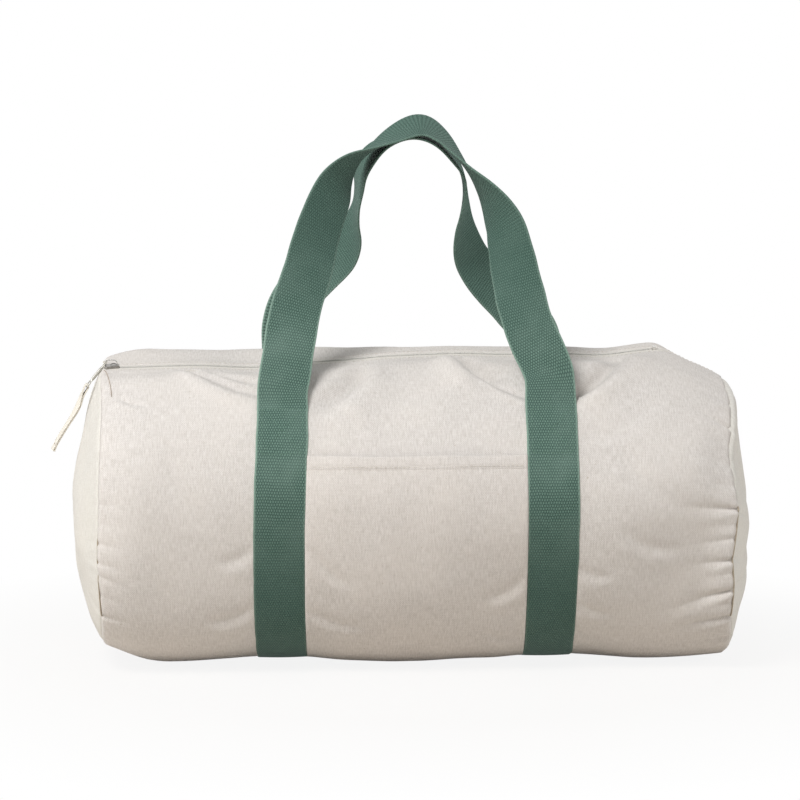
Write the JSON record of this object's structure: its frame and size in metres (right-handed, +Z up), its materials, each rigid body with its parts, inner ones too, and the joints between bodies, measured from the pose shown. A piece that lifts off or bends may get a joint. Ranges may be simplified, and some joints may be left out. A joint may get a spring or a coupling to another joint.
{
  "type": "sports bag",
  "caption": "Soft barrel sports bag in natural canvas with webbing straps, twisted webbing handles, a front pocket and a top coil zip with a cotton pull.",
  "frame": {"origin": "middle of the flat strip that the bag rests on, midway between the two straps", "axes": "+X along the bag, away from the end where the zip's pull hangs, -Y towards the pocket side, +Z up"},
  "size_m": [0.5501, 0.2586, 0.4199],
  "materials": {
    "canvas": "natural plain-weave cotton canvas",
    "end_canvas": "natural plain-weave cotton canvas",
    "pocket_canvas": "natural plain-weave cotton canvas",
    "webbing": "matte cotton webbing",
    "handle_webbing": "matte cotton webbing",
    "binding": "cotton binding tape",
    "zip_tape": "woven zip tape",
    "zip_coil": "nylon coil",
    "slider_metal": "plated zinc, satin",
    "bridge_metal": "plated zinc, satin",
    "spring_steel": "spring steel",
    "tab_metal": "plated zinc, satin",
    "pull_cotton": "undyed cotton tape"
  },
  "bodies": {
    "bag": {"body_panel": "canvas", "end_panel_left": "end_canvas", "end_panel_right": "end_canvas", "front_pocket": "pocket_canvas", "zip_tape_front": "zip_tape", "zip_tape_back": "zip_tape", "zip_coil_front": "zip_coil", "zip_coil_back": "zip_coil", "zip_stop": "slider_metal", "seam_binding_left": "binding", "seam_binding_right": "binding", "webbing_left": "webbing", "webbing_right": "webbing"},
    "slider": {"slider_body": "slider_metal", "slider_bridge": "bridge_metal", "slider_spring": "spring_steel"},
    "pull_tab": {"pull_tab": "tab_metal"},
    "pull_tape": {"pull_tape": "pull_cotton"},
    "handle_front": {"handle_front": "handle_webbing"},
    "handle_back": {"handle_back": "handle_webbing"}
  },
  "joints": [
    {"name": "zip_slide", "type": "slide", "parent": "bag", "child": "slider", "axis": [0.9955, 0.0917, 0.0242], "range_m": [0, 0.418], "deforming": ["zip_tape_front", "zip_tape_back", "zip_coil_front", "zip_coil_back"]},
    {"name": "pull_tab_hinge", "type": "hinge", "parent": "slider", "child": "pull_tab", "pos_m": [-0.23744, -0.03611, 0.23564], "axis": [-0.0943, 0.9833, 0.1557], "range_deg": [0, 160]},
    {"name": "pull_tape_hinge", "type": "hinge", "parent": "pull_tab", "child": "pull_tape", "pos_m": [-0.25323, -0.03458, 0.21638], "axis": [-0.0943, 0.9833, 0.1557], "range_deg": [0, 60]},
    {"name": "handle_front_hinge", "type": "hinge", "parent": "bag", "child": "handle_front", "pos_m": [0, -0.09584, 0.20778], "axis": [1, 0, 0], "range_deg": [0, 140]},
    {"name": "handle_back_hinge", "type": "hinge", "parent": "bag", "child": "handle_back", "pos_m": [0, 0.09584, 0.20778], "axis": [-1, 0, 0], "range_deg": [0, 140]}
  ]
}
